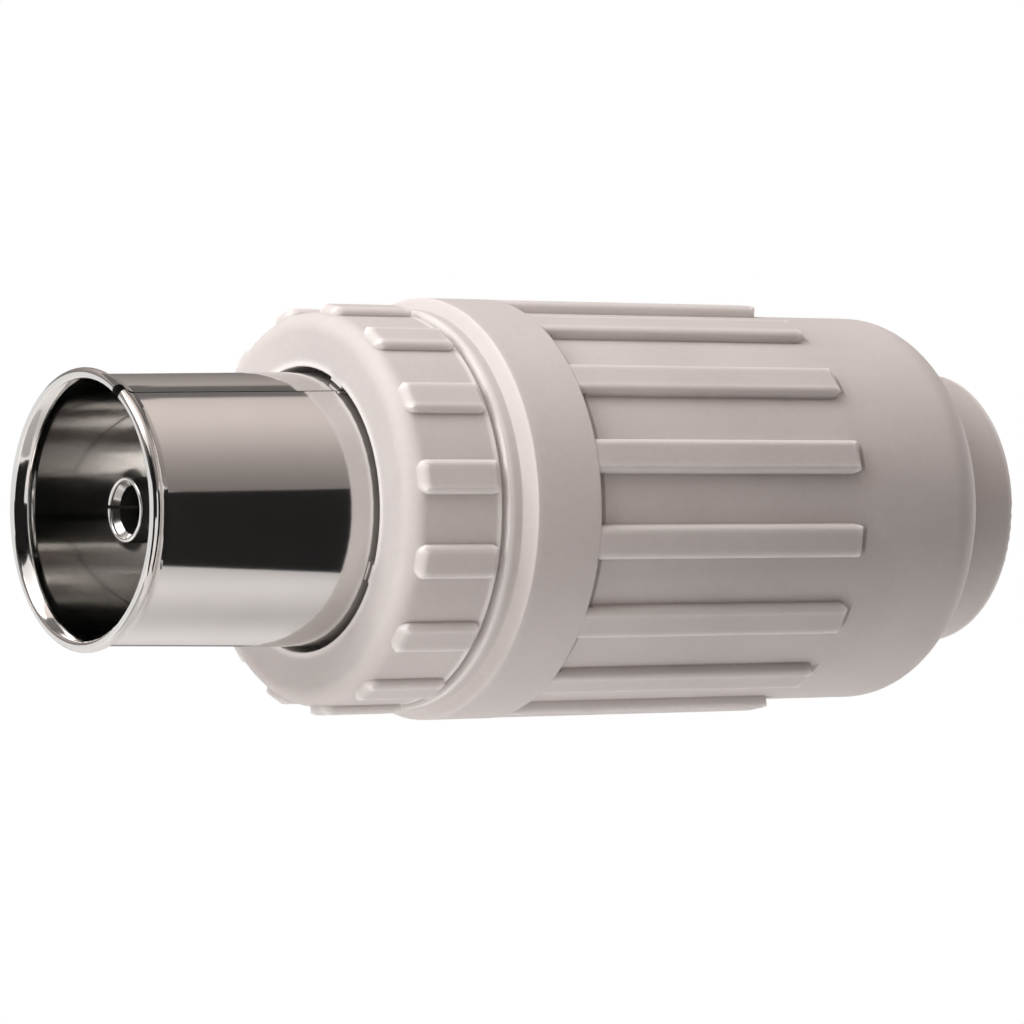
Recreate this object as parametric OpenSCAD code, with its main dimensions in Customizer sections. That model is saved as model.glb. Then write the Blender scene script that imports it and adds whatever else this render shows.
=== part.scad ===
// In-line coaxial aerial socket: a plated sleeve and a split centre contact, carried by a
// two-part plastic grip that screws together over the cable clamp.
// X runs along the connector from the mouth to the cable entry, Z is up, and the origin is the
// centre of the mouth. Angles around the axis count from the top towards the near side (-Y).

/* [Mating sleeve] */
// Bore of the sleeve, which takes the shell of the mating plug
sleeve_bore_d = 9.6; // [9.2:0.05:10]
// Wall of the sleeve just behind its rim
sleeve_wall = 0.44; // [0.3:0.02:0.6]
// Growth of the sleeve's outer radius from its rim to its flange
sleeve_draft = 0.2; // [0:0.02:0.3]
// Length of sleeve that stands out of the ring
sleeve_reach = 10.1; // [9:0.1:12]
// Depth of the open socket from the mouth to the insulator
socket_depth = 8; // [6:0.1:9.5]
// Radius of the bend that flares the mouth, on the inside of the sheet
rim_bend_r = 1.1; // [0.8:0.05:1.6]
// Angle through which the mouth is bent outwards
rim_turn = 43; // [30:1:60]
// Radial width of the flange that the ring traps
flange_w = 0.78; // [0.6:0.02:0.9]
// Thickness of that flange
flange_t = 0.6; // [0.4:0.05:1]
// Width of the butt seam
seam_gap = 0.05; // [0.03:0.01:0.2]
// Width of the notch that the flare opens in the seam at the lip
notch_w = 0.46; // [0.1:0.02:0.6]
// Length of that notch along the sleeve
notch_len = 0.9; // [0.5:0.1:2]
// Angle of the butt seam
seam_angle = 31.5; // [0:0.5:90]

/* [Centre contact] */
// Bore of the split contact at rest, before the plug's pin springs it open
contact_bore_d = 1.9; // [1.7:0.05:2.5]
// Wall of the contact tube
contact_wall = 0.33; // [0.25:0.01:0.4]
// Radius of the round edge at the contact's tip
tip_r = 0.09; // [0.06:0.01:0.12]
// Depth of the funnel that leads the pin into the bore
lead_in = 0.38; // [0.25:0.01:0.6]
// Distance of the contact's tip behind the mouth
contact_recess = 2; // [0.5:0.1:4]
// Depth of the contact's bore
contact_bore_len = 7; // [5:0.1:8]
// Width of the slot that lets the tip spring
contact_slot = 0.14; // [0.1:0.02:0.4]
// Angle of the slot
contact_slot_angle = 276; // [180:1:359]

/* [Inner terminal] */
// Diameter of the terminal block behind the insulator
block_d = 4.6; // [4:0.1:5]
// Length of the terminal block
block_len = 5.5; // [4.5:0.1:7]
// Hole for the cable's inner wire
wire_hole_d = 1.3; // [0.9:0.1:1.6]
// Shank diameter of the terminal screw
terminal_screw_d = 2; // [1.6:0.1:2.4]
// Head diameter of the terminal screw
terminal_head_d = 3.4; // [3:0.1:4]

/* [Insulator] */
// Diameter of the insulator's rear spigot
spigot_d = 6.4; // [5:0.1:7]
// Length of the spigot behind the cradle's plate
spigot_reach = 1.6; // [1:0.1:2.5]

/* [Front ring] */
// Width of the ring's grip
ring_w = 4.25; // [3.8:0.05:6]
// Radial step from the housing's band down to the ring between its pads
ring_step = 0.62; // [0.5:0.02:0.8]
// Thickness of the ring's front wall
ring_lip = 1.5; // [1.2:0.05:2]
// Radial gap between the ring's hole and the sleeve
ring_hole_gap = 0.2; // [0.1:0.02:0.3]
// Rounding of the ring's front edge
ring_edge_r = 0.75; // [0.2:0.05:0.9]
// Number of centring nubs in the ring's hole
nub_count = 4; // [3:1:6]
// Angle of the first nub
nub_angle = 27; // [0:1:89]
// Width of a nub
nub_w = 0.8; // [0.5:0.1:1.2]
// Distance of the nubs behind the ring's front face
nub_inset = 0.04; // [0.04:0.02:0.4]

/* [Screw joint] */
// Radial room between the sleeve's flange and the bore of the ring
flange_room = 0.25; // [0.15:0.01:0.4]
// Wall of the skirt under its thread
skirt_wall = 0.6; // [0.5:0.02:0.7]
// Length of the skirt
skirt_len = 4.4; // [4:0.1:6]
// Radial room between the skirt and the housing for both threads
thread_room = 0.35; // [0.3:0.01:0.4]
// Wall of the housing around its thread, between the ribs
thread_wall = 0.52; // [0.4:0.02:0.8]
// Thread in the housing past the end of the skirt
thread_spare = 0.8; // [0.4:0.1:1.5]
// Length of the snap bead that holds the metal insert in the ring
bead_len = 0.5; // [0.3:0.05:0.8]
// Overlap of that bead with the edge of the insert
bead_lap = 0.15; // [0.1:0.01:0.2]

/* [Rear housing] */
// Gap between the ring and the closed housing
joint_gap = 0.25; // [0.1:0.05:0.4]
// Length of the neck in front of the housing's band
neck_len = 0.6; // [0.2:0.05:0.8]
// Length of the bevel from the neck up to the band
bevel_len = 0.45; // [0.3:0.05:0.8]
// Radial rise of that bevel
bevel_rise = 0.46; // [0.2:0.02:0.6]
// Height of the plain band above the housing between its ribs
band_step = 0.48; // [0.4:0.02:0.7]
// Length of the plain band
band_len = 3; // [2.5:0.05:4.5]
// Length of the housing from its front edge to its rear face
body_len = 24.25; // [23.5:0.05:30]
// Rounding of the rear shoulder
shoulder_r = 1.9; // [1.2:0.1:2.2]
// Wall of the cable boss around the cable entry
boss_wall = 1.94; // [1.6:0.02:2.2]
// Length of the cable boss
boss_len = 2.9; // [2.2:0.1:4.5]
// Concave fillet at the foot of the boss
boss_fillet = 0.7; // [0.4:0.05:1]
// Rounding of the boss's rear edge
boss_edge_r = 0.15; // [0.1:0.05:0.6]
// Wall of the housing around the clamp, between the ribs
housing_wall = 1.12; // [1:0.02:1.3]

/* [Grip pattern] */
// Number of pads on the ring and of ribs on the housing
grip_count = 15; // [10:1:18]
// Width of a grip pad or rib
grip_w = 1.34; // [1:0.02:1.6]
// Height of a grip pad above the ring
pad_h = 0.32; // [0.2:0.02:0.45]
// Distance of the pads behind the ring's front face
pad_inset = 0.4; // [0.2:0.05:0.7]
// Distance of the pads in front of the ring's shoulder
pad_tail = 0.1; // [0.05:0.05:0.5]
// Height of a rib above the housing
rib_h = 0.46; // [0.25:0.01:0.48]
// Length of the ribs behind the band
rib_len = 13.2; // [10:0.1:15]
// Angle of the first pad
pad_angle = 9; // [0:0.5:24]
// Angle of the first rib
rib_angle = 3.4; // [0:0.1:24]
// Rounding of the long edges of pads and ribs
grip_edge_r = 0.24; // [0.1:0.01:0.3]
// Rounding of the corners of pads and ribs, seen from above
grip_corner_r = 0.4; // [0.2:0.02:0.5]
// Rounding of the ends of pads and ribs, seen from the side
grip_end_r = 0.4; // [0.2:0.02:0.5]

/* [Cable entry] */
// Diameter of the cable entry
entry_d = 7.4; // [6:0.1:8]
// Length of the cable entry
entry_len = 3.6; // [2.8:0.1:5]

/* [Cable clamp] */
// Thickness of the cradle's front plate
plate_t = 0.6; // [0.4:0.05:1]
// Diameter of the braid that the saddle and strap hold
braid_d = 6; // [5.4:0.1:6.2]
// Thickness of the saddle, its rails and the strap
clamp_t = 0.7; // [0.5:0.05:0.8]
// Gap between the insulator's spigot and the rails
rail_gap = 1; // [0.8:0.1:1.2]
// Width of a rail
rail_w = 1.3; // [1:0.05:1.4]
// Distance of the saddle behind the terminal block
saddle_gap = 3; // [2:0.1:4]
// Length of the saddle
saddle_len = 7; // [5.5:0.1:7.5]
// Length of the strap
strap_len = 4.5; // [3.5:0.1:5]
// Height of the split between saddle and strap
split_z = -0.6; // [-1:0.05:0]
// Shank diameter of the strap's screws
strap_screw_d = 1.6; // [1.2:0.1:1.8]
// Head diameter of the strap's screws
strap_head_d = 2.4; // [2:0.1:2.5]

/* [Fits] */
// Radial clearance of a turning or screwed fit
running_gap = 0.05; // [0.03:0.01:0.08]
// Radial clearance of a pressed-in piece
press_gap = 0.01; // [0.005:0.005:0.02]
// Gap between faces that seat on each other
seat_gap = 0.05; // [0.02:0.01:0.1]

/* [Hidden] */
$fn = 96;

// Room by which a cutting solid passes the faces that it cuts
over = 1;
// Height by which the round lip of the sleeve stands proud of the sheet
lip_bead = 0.01;
// Depth by which a grip bar sinks into the wall under it
grip_root = 0.3;
// Height by which the round ends of a grip bar run out above its top
grip_crown = 0.005;
plastic = [0.76, 0.72, 0.71];
nickel = [0.75, 0.75, 0.74];

// Radii from the bore of the sleeve outwards, each on the one inside it
bore_r = sleeve_bore_d / 2;
sleeve_r = bore_r + sleeve_wall;
sleeve_base_r = sleeve_r + sleeve_draft;
flange_r = sleeve_base_r + flange_w;
lip_r = sleeve_wall / 2 + lip_bead;
contact_r = contact_bore_d / 2 + contact_wall;
spigot_r = spigot_d / 2;
ring_hole_r = sleeve_base_r + ring_hole_gap;
skirt_bore_r = flange_r + flange_room;
skirt_r = skirt_bore_r + skirt_wall;
thread_bore_r = skirt_r + thread_room;
body_r = thread_bore_r + thread_wall;
housing_bore_r = body_r - housing_wall;
band_r = body_r + band_step;
neck_r = band_r - bevel_rise;
ring_r = band_r - ring_step;
entry_r = entry_d / 2;
boss_r = entry_r + boss_wall;

// Stations along the axis, from the mouth to the cable entry
rim_x = lip_r + (rim_bend_r - sleeve_wall / 2) * sin(rim_turn);
ring_x0 = sleeve_reach;
ring_x1 = ring_x0 + ring_w;
skirt_x1 = ring_x1 + skirt_len;
flange_x0 = ring_x0 + ring_lip + seat_gap;
flange_x1 = flange_x0 + flange_t;
plate_x1 = flange_x1 + plate_t;
block_x0 = plate_x1 + spigot_reach;
block_x1 = block_x0 + block_len;
terminal_x = (block_x0 + block_x1) / 2;
saddle_x0 = block_x1 + saddle_gap;
saddle_x1 = saddle_x0 + saddle_len;
strap_x = (saddle_x0 + saddle_x1) / 2;
housing_x0 = ring_x1 + joint_gap;
neck_x1 = housing_x0 + neck_len;
band_x0 = neck_x1 + bevel_len;
band_x1 = band_x0 + band_len;
rib_x0 = band_x1 - 2 * grip_corner_r;
rib_x1 = band_x1 + rib_len;
face_x = housing_x0 + body_len;
boss_x1 = face_x + boss_len;
thread_x1 = skirt_x1 + thread_spare;
entry_x0 = boss_x1 - entry_len;

// Cable clamp across the axis
saddle_r = braid_d / 2;
saddle_outer_r = saddle_r + clamp_t;
strap_screw_y = saddle_outer_r + strap_head_d / 2 + seat_gap;
ear_y = strap_screw_y + strap_head_d / 2;
rail_y = spigot_r + rail_gap;
strap_z = split_z + seat_gap;

// Screws: heads in proportion to their own diameters
terminal_head_h = 0.32 * terminal_head_d;
strap_head_h = 0.4 * strap_head_d;
slot_share = 0.14;

// Carries an outline drawn as [station, radius] round the X axis
module revolve() {
    rotate([0, 90, 0])
        rotate_extrude()
            mirror([1, -1, 0])
                children();
}

// Cylinder along X between two stations
module rod(x0, x1, r) {
    translate([x0, 0, 0])
        rotate([0, 90, 0])
            cylinder(h = x1 - x0, r = r);
}

// Extrudes an outline drawn as [Y, Z] along X between two stations
module along_x(x0, x1) {
    translate([x0, 0, 0])
        rotate([90, 0, 90])
            linear_extrude(height = x1 - x0)
                children();
}

// Repeats its child round the X axis
module around(count, first) {
    for (k = [0 : count - 1])
        rotate([first + k * 360 / count, 0, 0])
            children();
}

// Rectangle with round corners, centred on the origin
module round_rect(l, w, r) {
    square([l - 2 * r, w], center = true);
    square([l, w - 2 * r], center = true);
    for (sx = [-1, 1], sy = [-1, 1])
        translate([sx * (l / 2 - r), sy * (w / 2 - r)])
            circle(r);
}

// Raised grip bar on top of a cylinder of radius root_r: the bar is the same round rectangle
// seen from above, from its end and from the side
module grip_bar(x0, x1, root_r, height) {
    translate([(x0 + x1) / 2, 0, root_r])
        intersection() {
            translate([0, 0, -grip_root])
                linear_extrude(height = 2 * over)
                    round_rect(x1 - x0, grip_w, grip_corner_r);
            rotate([90, 0, 90])
                linear_extrude(height = x1 - x0 + over, center = true)
                    translate([0, height - over])
                        round_rect(grip_w, 2 * over, grip_edge_r);
            rotate([90, 0, 0])
                linear_extrude(height = 2 * grip_w, center = true)
                    translate([0, height + grip_crown - over])
                        round_rect(x1 - x0 + 2 * grip_crown, 2 * over, grip_end_r);
        }
}

// Thin radial cut along the axis, from radius r0 outwards
module axial_cut(x0, x1, r0, r1, width, angle) {
    rotate([angle, 0, 0])
        translate([x0, -width / 2, r0])
            cube([x1 - x0, width, r1 - r0]);
}

// Cheese-head screw along Z with its head's seat at z = 0 and a driver slot along X
module slotted_screw(shank_r, shank_len, head_r, head_h) {
    difference() {
        union() {
            translate([0, 0, -shank_len])
                cylinder(h = shank_len + head_h / 2, r = shank_r);
            cylinder(h = head_h, r = head_r);
        }
        translate([-2 * head_r, -slot_share * head_r, head_h / 2])
            cube([4 * head_r, 2 * slot_share * head_r, head_h]);
    }
}

// Flared mouth of the sleeve: the sheet bends between two arcs round one centre, to a round lip
module mouth_outline() {
    centre = [rim_x, bore_r + rim_bend_r];
    way = [-sin(rim_turn), -cos(rim_turn)];
    reach = 2 * rim_bend_r;
    intersection() {
        translate(centre)
            difference() {
                circle(rim_bend_r);
                circle(rim_bend_r - sleeve_wall);
            }
        polygon([centre, centre + reach * way, centre - [reach, reach], centre - [0, reach]]);
    }
    translate(centre + (rim_bend_r - sleeve_wall / 2) * way)
        circle(lip_r);
}

// Butt seam of the rolled sheet, with the notch at the lip
module seam_cut() {
    half = [[-over, notch_w / 2], [0, notch_w / 2], [notch_len, seam_gap / 2],
            [flange_x1 + over, seam_gap / 2]];
    rotate([seam_angle, 0, 0])
        translate([0, 0, bore_r / 2])
            linear_extrude(height = flange_r)
                polygon(concat(half, [for (k = [3 : -1 : 0]) [half[k].x, -half[k].y]]));
}

// Rolled sleeve: flared mouth, tube, and the flange that the ring traps
module outer_sleeve() {
    color(nickel)
        difference() {
            union() {
                revolve()
                    mouth_outline();
                revolve()
                    polygon([[rim_x, bore_r],
                             [rim_x, sleeve_r],
                             [flange_x0, sleeve_base_r],
                             [flange_x0, flange_r],
                             [flange_x1, flange_r],
                             [flange_x1, bore_r]]);
            }
            seam_cut();
        }
}

// Bush pressed into the sleeve, with a spigot through the cradle's plate
module insulator() {
    color("dimgray")
        difference() {
            union() {
                rod(socket_depth, flange_x1, bore_r - press_gap);
                rod(flange_x1, block_x0, spigot_r);
            }
            rod(socket_depth - over, block_x0 + over, contact_r + press_gap);
        }
}

// Split tube with a funnel in its round tip, terminal block with a wire and a screw hole behind
module centre_contact() {
    tip = [contact_recess + tip_r, contact_r - tip_r];
    contact_bore_r = contact_bore_d / 2;
    bore_x1 = contact_recess + contact_bore_len;
    tail_x = block_x0 + over;
    color(nickel)
        difference() {
            union() {
                revolve() {
                    polygon([tip,
                             [tip.x, contact_r],
                             [tail_x, contact_r],
                             [tail_x, 0],
                             [bore_x1, 0],
                             [bore_x1, contact_bore_r],
                             [contact_recess + lead_in, contact_bore_r]]);
                    translate(tip)
                        circle(tip_r);
                }
                rod(block_x0, block_x1, block_d / 2);
            }
            axial_cut(contact_recess - over, socket_depth - contact_slot, 0, contact_r + over,
                      contact_slot, contact_slot_angle);
            rod(block_x0 + over, block_x1 + over, wire_hole_d / 2);
            translate([terminal_x, 0, 0])
                cylinder(h = block_d, r = terminal_screw_d / 2 + running_gap);
        }
}

// Screw that presses on the inner wire from above
module terminal_screw() {
    seat_z = block_d / 2 + seat_gap;
    color(nickel)
        translate([terminal_x, 0, seat_z])
            slotted_screw(terminal_screw_d / 2, seat_z - wire_hole_d / 2, terminal_head_d / 2,
                          terminal_head_h);
}

// Half-round collar of the clamp with its two ears, above or below the split
module clamp_section(z0, up) {
    intersection() {
        difference() {
            circle(saddle_outer_r);
            circle(saddle_r);
        }
        translate([-2 * ear_y, up > 0 ? z0 : z0 - 2 * ear_y])
            square([4 * ear_y, 2 * ear_y]);
    }
    for (side = [-1, 1])
        translate([side * (ear_y + saddle_r + clamp_t / 2) / 2, z0 + up * clamp_t / 2])
            square([ear_y - saddle_r - clamp_t / 2, clamp_t], center = true);
}

// Plate behind the sleeve's flange, two rails past the terminal, and the saddle for the braid
module braid_cradle() {
    color(nickel)
        difference() {
            union() {
                rod(flange_x1, plate_x1, flange_r);
                for (side = [-1, 1])
                    along_x(plate_x1 - plate_t / 2, saddle_x0 + over)
                        translate([side * (rail_y + rail_w / 2), split_z - clamp_t / 2])
                            square([rail_w, clamp_t], center = true);
                along_x(saddle_x0, saddle_x1)
                    clamp_section(split_z, -1);
            }
            rod(flange_x1 - over, plate_x1 + over, spigot_r + press_gap);
            strap_screw_places()
                cylinder(h = 4 * clamp_t, r = strap_screw_d / 2 + running_gap, center = true);
        }
}

// Puts its child at the split, on the axis of each strap screw
module strap_screw_places() {
    for (side = [-1, 1])
        translate([strap_x, side * strap_screw_y, split_z])
            children();
}

// Arched strap that the screws draw down on the braid
module clamp_strap() {
    color(nickel)
        difference() {
            along_x(strap_x - strap_len / 2, strap_x + strap_len / 2)
                clamp_section(strap_z, 1);
            strap_screw_places()
                cylinder(h = 4 * clamp_t, r = strap_screw_d / 2 + running_gap, center = true);
        }
}

// Pair of screws through the strap's ears into the cradle's
module strap_screws() {
    color(nickel)
        strap_screw_places()
            translate([0, 0, clamp_t + 2 * seat_gap])
                slotted_screw(strap_screw_d / 2, 2 * clamp_t, strap_head_d / 2, strap_head_h);
}

// Screw ring: front wall with centring nubs, padded grip, snap bead and threaded skirt
module front_ring() {
    edge = [ring_x0 + ring_edge_r, ring_r - ring_edge_r];
    nub_r = sleeve_base_r + running_gap;
    color(plastic)
        union() {
            revolve() {
                translate([ring_x0, ring_hole_r])
                    square([ring_lip, edge.y - ring_hole_r]);
                translate(edge)
                    circle(ring_edge_r);
                translate([edge.x, skirt_bore_r])
                    square([ring_x1 - edge.x, ring_r - skirt_bore_r]);
                translate([ring_x1 - over, skirt_bore_r])
                    square([skirt_x1 - ring_x1 + over, skirt_wall]);
                translate([plate_x1 + seat_gap, flange_r - bead_lap])
                    square([bead_len, skirt_r - flange_r + bead_lap]);
            }
            around(nub_count, nub_angle)
                intersection() {
                    translate([ring_x0 + nub_inset, -nub_w / 2, nub_r / 2])
                        cube([ring_lip - 2 * nub_inset, nub_w, ring_r / 2]);
                    revolve()
                        translate([ring_x0, nub_r])
                            square([ring_lip, ring_hole_gap + over / 2]);
                }
            around(grip_count, pad_angle)
                grip_bar(ring_x0 + pad_inset, ring_x1 - pad_tail, ring_r, pad_h);
        }
}

// Outside of the housing without its ribs: neck, bevel, band, body, round shoulder and boss
module housing_outline() {
    shoulder = [face_x - shoulder_r, body_r - shoulder_r];
    fillet_y = boss_r + boss_fillet;
    reach = shoulder_r + boss_fillet;
    fillet = [shoulder.x + sqrt(pow(reach, 2) - pow(fillet_y - shoulder.y, 2)), fillet_y];
    blend = shoulder + (fillet - shoulder) * shoulder_r / reach;
    boss_edge = [boss_x1 - boss_edge_r, boss_r - boss_edge_r];
    polygon([[housing_x0, 0],
             [housing_x0, neck_r],
             [neck_x1, neck_r],
             [band_x0, band_r],
             [band_x1, band_r],
             [band_x1, body_r],
             [shoulder.x, body_r],
             [shoulder.x, 0]]);
    translate(shoulder)
        circle(shoulder_r);
    difference() {
        polygon([[shoulder.x, 0], shoulder, blend, fillet, [fillet.x, 0]]);
        translate(fillet)
            circle(boss_fillet);
    }
    translate([shoulder.x, 0])
        square([boss_x1 - shoulder.x, boss_edge.y]);
    translate([fillet.x, 0])
        square([boss_edge.x - fillet.x, boss_r]);
    translate(boss_edge)
        circle(boss_edge_r);
}

// Inside of the housing: thread bore, clamp bore, cone and cable entry
module housing_hollow() {
    polygon([[housing_x0 - over, 0],
             [housing_x0 - over, thread_bore_r],
             [thread_x1, thread_bore_r],
             [thread_x1, housing_bore_r],
             [entry_x0 - (housing_bore_r - entry_r), housing_bore_r],
             [entry_x0, entry_r],
             [boss_x1 + over, entry_r],
             [boss_x1 + over, 0]]);
}

// Grip housing, open in front for the ring's skirt and behind for the cable. Its ribs start
// inside the band
module rear_housing() {
    color(plastic)
        union() {
            revolve()
                difference() {
                    housing_outline();
                    housing_hollow();
                }
            around(grip_count, rib_angle)
                grip_bar(rib_x0, rib_x1, body_r, rib_h);
        }
}

outer_sleeve();
insulator();
centre_contact();
terminal_screw();
braid_cradle();
clamp_strap();
strap_screws();
front_ring();
rear_housing();
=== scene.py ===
"""Looks of an in-line coaxial aerial socket: a nickel-plated sleeve with a split centre contact,
held by a two-part grip of grey moulded plastic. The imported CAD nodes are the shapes. This script
gives them their finishes, adds the screw thread between the two grip parts and the washer at the
bottom of the socket, and sets up the studio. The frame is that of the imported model: X runs along
the connector from its mouth to the cable entry, and Z is up. Blender's lengths are metres; the
sizes named here are millimetres.
"""
import math

import bpy
import numpy as np
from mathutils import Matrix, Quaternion, Vector


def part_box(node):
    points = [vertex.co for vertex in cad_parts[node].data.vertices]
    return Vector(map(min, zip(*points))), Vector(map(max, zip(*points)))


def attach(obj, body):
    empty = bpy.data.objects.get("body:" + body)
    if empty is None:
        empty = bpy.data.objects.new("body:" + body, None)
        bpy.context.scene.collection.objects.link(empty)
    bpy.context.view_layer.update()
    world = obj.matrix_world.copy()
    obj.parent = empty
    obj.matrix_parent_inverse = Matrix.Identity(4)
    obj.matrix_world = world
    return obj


MM = 0.001

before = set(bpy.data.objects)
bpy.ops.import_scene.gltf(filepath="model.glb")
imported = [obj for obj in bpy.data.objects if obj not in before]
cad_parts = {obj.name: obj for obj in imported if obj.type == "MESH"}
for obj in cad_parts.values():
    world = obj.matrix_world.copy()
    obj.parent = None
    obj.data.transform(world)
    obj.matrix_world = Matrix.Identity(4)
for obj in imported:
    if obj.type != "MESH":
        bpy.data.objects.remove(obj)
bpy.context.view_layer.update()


# Camera of the photograph

IMAGE_PX = 1024
FOCAL_PX = 5800
SENSOR_MM = 36
CAMERA_YAW = math.radians(34.78)
CAMERA_DISTANCE = 234.06
CAMERA_DROP = 0.13
CAMERA_ROLL = math.radians(-0.19)
AIM = Vector((20.22, 0, 0))
TOWARDS_CAMERA = Vector((-math.sin(CAMERA_YAW), -math.cos(CAMERA_YAW), 0))


def add_camera():
    """Camera at the photograph's angle: level, turned towards the mouth, with a long lens."""
    data = bpy.data.cameras.new("camera")
    data.sensor_width = SENSOR_MM
    data.lens = FOCAL_PX / IMAGE_PX * SENSOR_MM
    data.clip_start = 10 * MM
    data.clip_end = 20
    camera = bpy.data.objects.new("camera", data)
    bpy.context.scene.collection.objects.link(camera)
    place = AIM + TOWARDS_CAMERA * CAMERA_DISTANCE - Vector((0, 0, CAMERA_DROP))
    camera.location = place * MM
    camera.rotation_mode = "QUATERNION"
    camera.rotation_quaternion = ((-TOWARDS_CAMERA).to_track_quat("-Z", "Y")
                                  @ Quaternion((0, 0, 1), CAMERA_ROLL))
    bpy.context.scene.camera = camera


add_camera()


# Shader maths as expressions

class Sock:
    """An output socket in a node tree. Arithmetic on it adds Math nodes to that tree."""

    def __init__(self, tree, socket):
        self.tree = tree
        self.socket = socket

    def add(self, kind, settings=None, out=0, **sockets):
        """Adds a node of that kind, with its settings, then a value or link for each named socket,
        and gives its output out. A socket's name has _ for a blank, and a number after in_ is its
        index."""
        node = self.tree.nodes.new("ShaderNode" + kind)
        for name, value in (settings or {}).items():
            setattr(node, name, value)
        for name, value in sockets.items():
            place = node.inputs[int(name[3:]) if name.startswith("in_") else name.replace("_", " ")]
            if isinstance(value, Sock):
                self.tree.links.new(value.socket, place)
            else:
                place.default_value = value
        return Sock(self.tree, node.outputs[out])

    def math(self, operation, first, second=0.0):
        return self.add("Math", {"operation": operation}, in_0=first, in_1=second)

    def __add__(self, other):
        return self.math("ADD", self, other)

    def __radd__(self, other):
        return self.math("ADD", other, self)

    def __sub__(self, other):
        return self.math("SUBTRACT", self, other)

    def __rsub__(self, other):
        return self.math("SUBTRACT", other, self)

    def __mul__(self, other):
        return self.math("MULTIPLY", self, other)

    def __rmul__(self, other):
        return self.math("MULTIPLY", other, self)

    def __truediv__(self, other):
        return self.math("DIVIDE", self, other)

    def clamp(self, low=0.0, high=1.0):
        """The value held between low and high."""
        return self.math("MINIMUM", self.math("MAXIMUM", self, low), high)

    def smooth(self, low, high):
        """0 below low, 1 above high, and a smooth step between them."""
        return self.add("MapRange", {"interpolation_type": "SMOOTHSTEP"},
                        in_0=self, in_1=low, in_2=high, in_3=0.0, in_4=1.0)

    def between(self, low, high, fade):
        """1 between low and high, 0 outside, with a smooth step of width fade within each end."""
        return self.smooth(low, low + fade) * (high - self).smooth(0.0, fade)


def coordinates(tree, kind):
    """A Sock of a tree's texture coordinates, from which its other nodes are added."""
    return Sock(tree, tree.nodes.new("ShaderNodeTexCoord").outputs[kind])


def new_material(name, **constants):
    """A Principled material. Returns it, its shader node and a Sock of its Object coordinates."""
    material = bpy.data.materials.new(name)
    material.use_nodes = True
    tree = material.node_tree
    shader = tree.nodes["Principled BSDF"]
    for socket, value in constants.items():
        shader.inputs[socket.replace("_", " ")].default_value = value
    return material, shader, coordinates(tree, "Object")


def feed(shader, name, value):
    """Links a Sock to one of the shader's sockets."""
    value.tree.links.new(value.socket, shader.inputs[name])


def noise(place, scale_per_mm, detail=2.0, roughness=0.5, stretch=(1, 1, 1)):
    """Noise with that many blobs to the millimetre, from 0 to 1, stretched along the axes."""
    scaled = place.add("Mapping", {"vector_type": "POINT"}, Vector=place,
                       Scale=[scale_per_mm / MM / s for s in stretch])
    return place.add("TexNoise", {"noise_dimensions": "3D"}, Vector=scaled,
                     Scale=1.0, Detail=detail, Roughness=roughness)


def in_mm(place):
    """The x, y and z of a place, in millimetres."""
    return [place.add("SeparateXYZ", None, k, in_0=place) / MM for k in range(3)]


def tint(place, factor, dark, light):
    """A colour between dark, which can be a colour from other nodes, and light."""
    start = dark if isinstance(dark, Sock) else (*dark, 1)
    return place.add("Mix", {"data_type": "RGBA"}, 2, in_0=factor, in_6=start, in_7=(*light, 1))


# Finishes

PLASTIC = ((0.64, 0.60, 0.588), (0.69, 0.647, 0.634))
# Painted light on the plastic: a painted highlight on the outer edges, painted shade in the inner
# corners, and a painted shadow on the pockets' floor
EDGE_HIGHLIGHT_PLASTIC = (0.93, 0.895, 0.88)
CORNER_SHADE = (0.36, 0.31, 0.295)
POCKET_SHADOW = (0.30, 0.26, 0.245)
EDGE_REACH = 0.4
CORNER_REACH = 0.3
EDGE_SOFTNESS = 0.09
GRAIN_DEPTH = 0.012
HOUSING_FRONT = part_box("rear_housing")[0][0] / MM
BAND_EDGE_X = (HOUSING_FRONT + 3.4, HOUSING_FRONT + 4.15)
POCKET_X = (HOUSING_FRONT + 4.0, HOUSING_FRONT + 4.62)
POCKET_R = (7.85, 8.15)
RIB_END_X = (HOUSING_FRONT + 17.2, HOUSING_FRONT + 17.67)
RIB_HALF = 0.7
RIB_COUNT = 15
RIB_STEP = 2 * math.pi / RIB_COUNT
RIB_ANGLE = math.radians(3.4)


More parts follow.
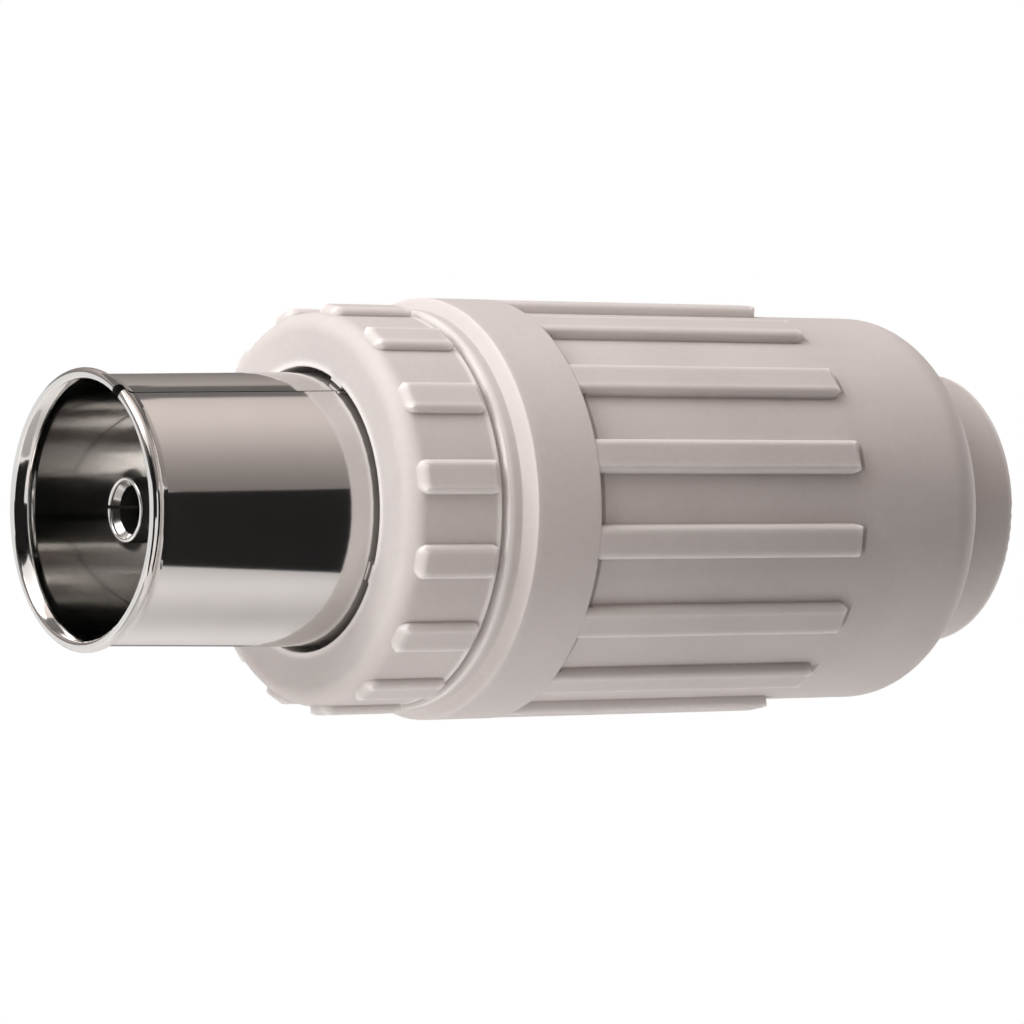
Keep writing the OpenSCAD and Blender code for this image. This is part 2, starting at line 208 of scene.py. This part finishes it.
def grip_plastic():
    """Moulded grey plastic with a fine spark-eroded grain and slight clouding. Its outer edges are
    smoother, with a painted highlight that makes them paler, but not on the band's rear edge.
    Painted shade darkens its inner corners, and a painted shadow lies on the pockets' floor, where
    r
    lies within POCKET_R: at its front end, with x within POCKET_X, and behind each rib, with x
    within RIB_END_X and the distance from the rib's middle plane under RIB_HALF."""
    material, shader, place = new_material("grip_plastic", IOR=1.49)
    cloud = noise(place, 0.22, 3.0)
    speck = noise(place, 3.2, 2.0, 0.6)
    grain = noise(place, 9.0, 3.0, 0.65)
    lit_edge = 1 - place.add("AmbientOcclusion", {"samples": 8, "only_local": True, "inside": True},
                           1, Distance=EDGE_REACH * MM)
    corner = 1 - place.add("AmbientOcclusion", {"samples": 8, "only_local": True},
                           1, Distance=CORNER_REACH * MM)
    x, y, z = in_mm(place)
    r = place.math("SQRT", y * y + z * z)
    # No painted highlight on the band's rear edge
    lit_edge = lit_edge * (1 - x.between(*BAND_EDGE_X, 0.15))
    base = tint(place, (0.65 * cloud + 0.35 * speck).smooth(0.3, 0.7), *PLASTIC)
    # Painted highlight: the outer edges are painted paler
    base = tint(place, lit_edge.smooth(0.06, 0.3), base, EDGE_HIGHLIGHT_PLASTIC)
    # Painted shade: inner corners found by occlusion are darkened
    base = tint(place, 0.5 * corner.smooth(0.2, 0.5), base, CORNER_SHADE)
    # Painted shadow on the pockets' floor, at their front end and behind each rib
    turn = place.math("ARCTAN2", 0 - y, z) + (RIB_STEP / 2 - RIB_ANGLE)
    aside = r * place.math("ABSOLUTE", place.math("FLOORED_MODULO", turn, RIB_STEP) - RIB_STEP / 2)
    behind = x.between(*RIB_END_X, 0.1) * (RIB_HALF - aside).smooth(0.0, 0.4)
    pocket_shadow = (x.between(*POCKET_X, 0.1) + behind) * r.between(*POCKET_R, 0.08)
    base = tint(place, 0.75 * pocket_shadow, base, POCKET_SHADOW)
    feed(shader, "Base Color", base)
    feed(shader, "Roughness", 0.40 + 0.16 * speck - 0.1 * lit_edge)
    soft = place.add("Bevel", {"samples": 6}, Radius=EDGE_SOFTNESS * MM)
    feed(shader, "Normal", place.add("Bump", Strength=0.35, Distance=GRAIN_DEPTH * MM, Height=grain,
                                     Normal=soft))
    return material


SEAM_ANGLE = math.radians(31.5)
NOTCH_HALF = 0.26
NOTCH_TAPER = 0.256
TARNISH = (0.05, 0.045, 0.04)


def plated_sleeve():
    """Bright nickel plate with faint draw marks along the tube, and dark tarnish on the cut edges
    of the notch: with t the distance from the seam's plane and x that from the mouth, the cut is
    |t| < NOTCH_HALF - NOTCH_TAPER x."""
    material, shader, place = new_material("plated_sleeve", Metallic=1.0)
    draw = noise(place, 7.0, 3.0, 0.6, (30, 1, 1))
    haze = noise(place, 0.35, 2.0)
    x, y, z = in_mm(place)
    aside = place.math("ABSOLUTE", math.cos(SEAM_ANGLE) * y + math.sin(SEAM_ANGLE) * z)
    above = math.cos(SEAM_ANGLE) * z - math.sin(SEAM_ANGLE) * y
    inside = NOTCH_HALF - NOTCH_TAPER * x - aside
    cut = inside.smooth(-0.01, 0.01) * above.smooth(0.0, 1.0)
    plate = tint(place, haze, (0.66, 0.645, 0.63), (0.72, 0.705, 0.69))
    feed(shader, "Base Color", tint(place, cut, plate, TARNISH))
    feed(shader, "Roughness", 0.05 + 0.05 * draw + 0.02 * haze + 0.4 * cut)
    feed(shader, "Normal", place.add("Bump", Strength=0.05, Distance=0.004 * MM, Height=draw))
    return material


def plated_contact():
    """Nickel plate on the turned contact, with fine turning rings."""
    material, shader, place = new_material("plated_contact", Metallic=1.0)
    turning = noise(place, 14.0, 2.0, 0.5, (1, 30, 30))
    feed(shader, "Base Color", tint(place, turning, (0.70, 0.685, 0.66), (0.78, 0.765, 0.74)))
    feed(shader, "Roughness", 0.14 + 0.08 * turning)
    feed(shader, "Normal", place.add("Bump", Strength=0.06, Distance=0.004 * MM, Height=turning))
    return material


def dark_insulator():
    """Dark moulded bush."""
    material, shader, place = new_material("dark_insulator", IOR=1.49)
    cloud = noise(place, 1.2, 3.0)
    feed(shader, "Base Color", tint(place, cloud, (0.012, 0.011, 0.011), (0.022, 0.020, 0.019)))
    feed(shader, "Roughness", 0.35 + 0.15 * cloud)
    return material


def plated_steel():
    """Zinc-plated sheet and screws of the cable clamp."""
    material, shader, place = new_material("plated_steel", Metallic=1.0)
    spangle = noise(place, 2.2, 3.0, 0.6)
    scratch = noise(place, 12.0, 2.0, 0.5, (20, 1, 1))
    feed(shader, "Base Color", tint(place, spangle, (0.52, 0.52, 0.52), (0.64, 0.64, 0.63)))
    feed(shader, "Roughness", 0.24 + 0.14 * scratch)
    feed(shader, "Normal", place.add("Bump", Strength=0.1, Distance=0.006 * MM, Height=scratch))
    return material


def satin_plate():
    """Nickel plate on a stamped washer, dulled by a fine grain."""
    material, shader, place = new_material("satin_plate", Metallic=1.0)
    grain = noise(place, 8.0, 2.0)
    feed(shader, "Base Color", tint(place, grain, (0.60, 0.585, 0.57), (0.66, 0.645, 0.63)))
    feed(shader, "Roughness", 0.24 + 0.08 * grain)
    return material


plastic = grip_plastic()
steel = plated_steel()
FINISHES = {
    "outer_sleeve": plated_sleeve(),
    "centre_contact": plated_contact(),
    "insulator": dark_insulator(),
    "terminal_screw": steel,
    "braid_cradle": steel,
    "clamp_strap": steel,
    "strap_screws": steel,
    "front_ring": plastic,
    "rear_housing": plastic,
}
for node, finish in FINISHES.items():
    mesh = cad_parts[node].data
    mesh.materials.clear()
    mesh.materials.append(finish)


# Meshes from grids of points

def grid_faces(rows, columns, closed_rows=False, closed_columns=False):
    """Quads between the neighbours in a grid of points that is listed row by row. Closed rows join
    the last row to the first, and closed columns do the same along each row."""
    i = np.arange(rows - 1 + closed_rows)[:, None]
    j = np.arange(columns - 1 + closed_columns)
    this = i * columns
    later = (i + 1) % rows * columns
    after = (j + 1) % columns
    quads = np.stack([this + j, this + after, later + after, later + j], axis=-1)
    return quads.reshape(-1, 4)


def add_mesh(name, points, faces, material):
    """An object at the origin from an array of points, in millimetres, and its faces."""
    mesh = bpy.data.meshes.new(name)
    mesh.from_pydata(np.reshape(points, (-1, 3)) * MM, [], faces)
    mesh.materials.append(material)
    piece = bpy.data.objects.new(name, mesh)
    bpy.context.scene.collection.objects.link(piece)
    return piece


# Screw thread between the two grip parts

THREAD_PITCH = 1.5
THREAD_LENGTH = 3.4
RIDGE_BASE = 0.8
RIDGE_CREST = 0.35
RIDGE_HEIGHT = 0.25
RIDGE_SINK = 0.05
RIDGE_FADE = 1.2
STEPS_PER_TURN = 80
SKIRT_R = 7.07
SKIRT_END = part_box("front_ring")[1][0] / MM
SKIRT_THREAD_X = SKIRT_END - 4.05
THREAD_BORE_R = 7.42
BORE_THREAD_X = HOUSING_FRONT + 0.85


def thread_ridge(name, body, root_r, side, x0):
    """Ridge of a right-hand thread on the wall of radius root_r, as a trapezoid along a helix:
    x = x0 + pitch t / 2 pi + u, y = r cos t, z = r sin t, with r = root_r + side v.
    u and v run round the trapezoid, side is 1 on an outer wall and -1 in a bore, and the height
    fades out at both ends."""
    end = 2 * math.pi * THREAD_LENGTH / THREAD_PITCH
    count = int(STEPS_PER_TURN * end / (2 * math.pi))
    t = np.linspace(0, end, count)[:, None]
    fade = np.clip(np.minimum(t, end - t) / RIDGE_FADE, 0, 1)
    u = np.array([-RIDGE_BASE, -RIDGE_CREST, RIDGE_CREST, RIDGE_BASE]) / 2
    v = np.array([0, 1, 1, 0]) * (RIDGE_HEIGHT + RIDGE_SINK) * fade - RIDGE_SINK
    r = root_r + side * v
    x = x0 + THREAD_PITCH * t / (2 * math.pi) + u
    points = np.stack([x, r * np.cos(t), r * np.sin(t)], axis=-1)
    corner = np.arange(4)
    ends = [corner[::-1], 4 * (count - 1) + corner]
    quads = np.concatenate([grid_faces(count, 4, closed_columns=True), ends])
    if side > 0:
        quads = quads[:, ::-1]
    piece = add_mesh(name, points, quads, plastic)
    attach(piece, body)


thread_ridge("thread_on_ring", "ring", SKIRT_R, 1, SKIRT_THREAD_X)
thread_ridge("thread_in_housing", "housing", THREAD_BORE_R, -1, BORE_THREAD_X)


# Bright washer at the bottom of the socket, in front of the insulator

INSULATOR_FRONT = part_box("insulator")[0][0] / MM
WASHER_R = (1.6, 4.74)
WASHER_X = (INSULATOR_FRONT - 0.14, INSULATOR_FRONT - 0.04)
WASHER_STEPS = 128


def socket_washer():
    """Flat ring round the contact, as a rectangle turned about the axis:
    points (x, r cos a, r sin a) with x and r at the four corners of the section."""
    a = np.linspace(0, 2 * math.pi, WASHER_STEPS, endpoint=False)[:, None]
    x = np.array(WASHER_X)[[1, 1, 0, 0]] + 0 * a
    r = np.array(WASHER_R)[[0, 1, 1, 0]]
    points = np.stack([x, r * np.cos(a), r * np.sin(a)], axis=-1)
    quads = grid_faces(WASHER_STEPS, 4, closed_rows=True, closed_columns=True)
    piece = add_mesh("socket_washer", points, quads, satin_plate())
    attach(piece, "insert")


socket_washer()


# Studio

FLOOR_Z = -30
FLOOR_ROWS = [0, 40, 80, 120, 200, 400]
COVE_START = 800
COVE_R = 200
COVE_STEPS = 13
WALL_TOP = 260
NEAR_FLOOR = (70, 105)
TURNS = 96


def cyclorama():
    """Floor that rises into a low wall all round, as a profile turned about the vertical line
    through AIM: points (r cos a, r sin a, z) with a flat floor, a quarter-round cove and a wall."""
    cove = np.radians(np.linspace(0, 90, COVE_STEPS))
    flat = np.zeros(len(FLOOR_ROWS))
    r = np.concatenate([FLOOR_ROWS, COVE_START + COVE_R * np.sin(cove), [COVE_START + COVE_R]])
    z = np.concatenate([flat, COVE_R * (1 - np.cos(cove)), [WALL_TOP]]) + FLOOR_Z
    a = np.linspace(0, 2 * math.pi, TURNS, endpoint=False)[:, None]
    points = np.stack([r * np.cos(a), r * np.sin(a), z + 0 * a], axis=-1) + np.array(AIM)
    quads = grid_faces(TURNS, len(r), closed_rows=True)
    piece = add_mesh("cyclorama", points, quads, floor_paint())
    piece.data.polygons.foreach_set("use_smooth", np.ones(len(quads), dtype=bool))


def floor_paint():
    """Pale matt paint that takes shadows near the object, and reads as white further off."""
    material, shader, place = new_material("floor_paint", Roughness=0.9, Specular_IOR_Level=0.0)
    tree = material.node_tree
    cloud = noise(place, 0.02, 2.0)
    feed(shader, "Base Color", tint(place, cloud, (0.87, 0.87, 0.87), (0.90, 0.90, 0.90)))
    seen = place.add("LightPath", out="Is Camera Ray")
    for ray in ("Is Glossy Ray", "Is Transmission Ray"):
        seen = place.math("MAXIMUM", seen, place.add("LightPath", out=ray))
    middle = Vector((AIM.x, AIM.y, FLOOR_Z)) * MM
    offset = place.add("VectorMath", {"operation": "SUBTRACT"}, in_0=place, in_1=middle)
    away = place.add("VectorMath", {"operation": "LENGTH"}, 1, in_0=offset)
    far = away.smooth(NEAR_FLOOR[0] * MM, NEAR_FLOOR[1] * MM)
    glow = place.add("Emission", Color=(1, 1, 1, 1), Strength=1.0)
    paint = Sock(tree, shader.outputs[0])
    mixed = place.add("MixShader", Fac=seen * far, in_1=paint, in_2=glow)
    tree.links.new(mixed.socket, tree.nodes["Material Output"].inputs["Surface"])
    return material


def matt_card(name, corners, grey):
    """A flat matt card of the studio from its four corners, in millimetres, which the camera
    doesn't see."""
    material, shader, place = new_material(name, Roughness=0.9, Specular_IOR_Level=0.0)
    cloud = noise(place, 0.05, 2.0)
    feed(shader, "Base Color", tint(place, cloud, (0.9 * grey,) * 3, (1.1 * grey,) * 3))
    piece = add_mesh(name, corners, [(0, 1, 2, 3)], material)
    piece.visible_camera = False


def add_area(name, place, aim, size, power, mirrored=False, colour=(1, 1, 1)):
    """A square soft light, placed and aimed in millimetres. Metal shows it only if mirrored."""
    data = bpy.data.lights.new(name, "AREA")
    data.size = size * MM
    data.energy = power
    data.color = colour
    light = bpy.data.objects.new(name, data)
    light.location = Vector(place) * MM
    light.rotation_mode = "QUATERNION"
    light.rotation_quaternion = (Vector(aim) - Vector(place)).to_track_quat("-Z", "Y")
    light.visible_glossy = mirrored
    light.visible_camera = False
    bpy.context.scene.collection.objects.link(light)


DOME_COLOUR = (1, 0.89, 0.84, 1)
DOME_LOW = 0.27
DOME_RISE = 0.95
DIM_FROM_TO = (0.3, 0.9)


def add_world():
    """A soft dome, brightest overhead and dim towards the camera: with z the height of a direction
    and c its share towards the camera, level = (DOME_LOW + DOME_RISE z^3) (1 - step(c))."""
    world = bpy.data.worlds.new("studio")
    bpy.context.scene.world = world
    world.use_nodes = True
    tree = world.node_tree
    background = tree.nodes["Background"]
    background.inputs["Color"].default_value = DOME_COLOUR
    way = coordinates(tree, "Generated")
    z = way.add("SeparateXYZ", None, 2, in_0=way).clamp()
    ahead = way.add("VectorMath", {"operation": "DOT_PRODUCT"}, 1, in_0=way, in_1=TOWARDS_CAMERA)
    level = (DOME_LOW + DOME_RISE * z * z * z) * (1 - ahead.smooth(*DIM_FROM_TO))
    tree.links.new(level.socket, background.inputs["Strength"])


cyclorama()

# The metal mirrors these cards: the sleeve shows the two flags in front of it as its dark band and
# the bar overhead as its thin one, and the flared rim shows the two cards at the mouth
BLACK = 0.02
FLAG_TOP = 8.5
matt_card("dark_flag", [(15, -34.5, FLOOR_Z), (37, -19, FLOOR_Z),
                        (37, -22, FLAG_TOP), (15, -37.5, FLAG_TOP)], BLACK)
matt_card("rear_flag", [(37, -22, -14), (80, -22, -14),
                        (80, -22, FLAG_TOP), (37, -22, FLAG_TOP)], BLACK)
matt_card("left_flag", [(-27, -15, -17), (-6, -15, -17), (-6, -15, 13), (-27, -15, 13)], BLACK)
matt_card("mouth_card", [(-18, -10, -15), (-6, -10, -15), (-6, 5, -15), (-18, 5, -15)], 0.5)
matt_card("grey_back", [(20, 80, FLOOR_Z), (130, 80, FLOOR_Z), (130, 80, 35), (20, 80, 35)], 0.3)
matt_card("dark_bar", [(-150, 55, 200), (450, 55, 200), (450, 150, 190), (-150, 150, 190)], 0.2)
matt_card("dark_room", [(-280, -133, FLOOR_Z), (0, -328, FLOOR_Z),
                        (0, -328, 120), (-280, -133, 120)], BLACK)

add_area("key_light", (-50, -60, 145), (18, 0, 0), 120, 0.043, mirrored=True)
add_area("left_light", (-205, -40, 100), (10, 0, 0), 140, 0.296)
add_area("left_top_light", (-130, 0, 200), (15, 0, 0), 140, 0.198, mirrored=True)
add_area("right_light", (230, 40, 60), (20, 0, -10), 140, 0.14)
add_area("back_light", (20, 230, 60), (20, 0, -10), 140, 0.147)
add_area("front_light", (-60, -190, 90), (20, 0, 0), 160, 0.043, colour=(1, 0.82, 0.74))
add_area("under_light", (22, -14, FLOOR_Z + 1), (22, -4, 0), 60, 0.003)
add_world()
bpy.context.scene.view_settings.view_transform = "Standard"
